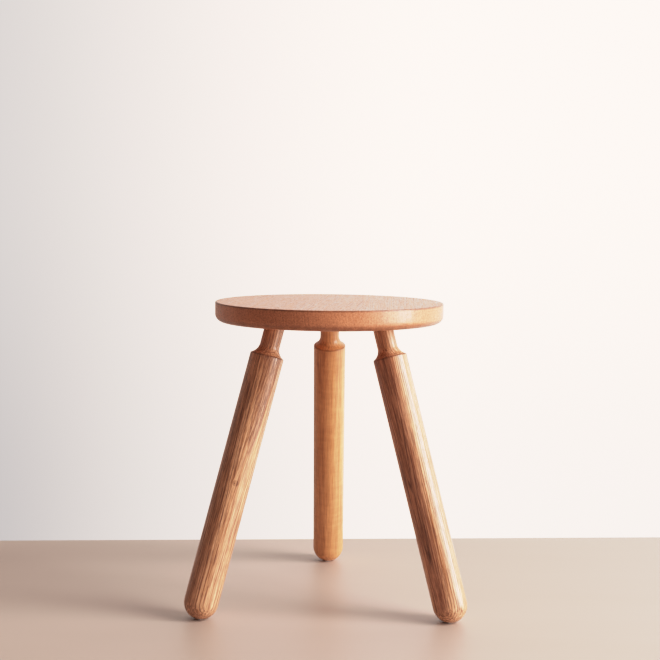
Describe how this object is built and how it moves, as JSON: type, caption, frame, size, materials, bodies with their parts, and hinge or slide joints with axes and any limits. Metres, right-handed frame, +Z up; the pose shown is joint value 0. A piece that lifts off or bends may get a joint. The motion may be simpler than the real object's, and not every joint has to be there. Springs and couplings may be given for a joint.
{
  "type": "milking stool",
  "caption": "Low wooden milking stool with a round glued-up seat on splayed turned legs with slim necks and rounded feet.",
  "frame": {"origin": "on the floor, straight below the middle of the seat", "axes": "+Z up through the middle of the seat; +Y to the back, where the single leg stands; +X to the right as seen from the front, where the other two legs stand"},
  "size_m": [0.3606, 0.3548, 0.4],
  "materials": {
    "seat_wood": "satin oil, warm orange brown",
    "leg_wood": "satin oil, golden brown with open ring-porous grain",
    "joinery_wood": "bare, pale hardwood"
  },
  "bodies": {
    "root": {"seat_board_left": "seat_wood", "seat_board_middle": "seat_wood", "seat_board_right": "seat_wood", "leg_back": "leg_wood", "leg_front_left": "leg_wood", "leg_front_right": "leg_wood", "tenon_wedge_back": "joinery_wood", "tenon_wedge_front_left": "joinery_wood", "tenon_wedge_front_right": "joinery_wood", "dowel_left_front": "joinery_wood", "dowel_left_middle": "joinery_wood", "dowel_left_rear": "joinery_wood", "dowel_right_front": "joinery_wood", "dowel_right_middle": "joinery_wood", "dowel_right_rear": "joinery_wood"}
  },
  "joints": []
}
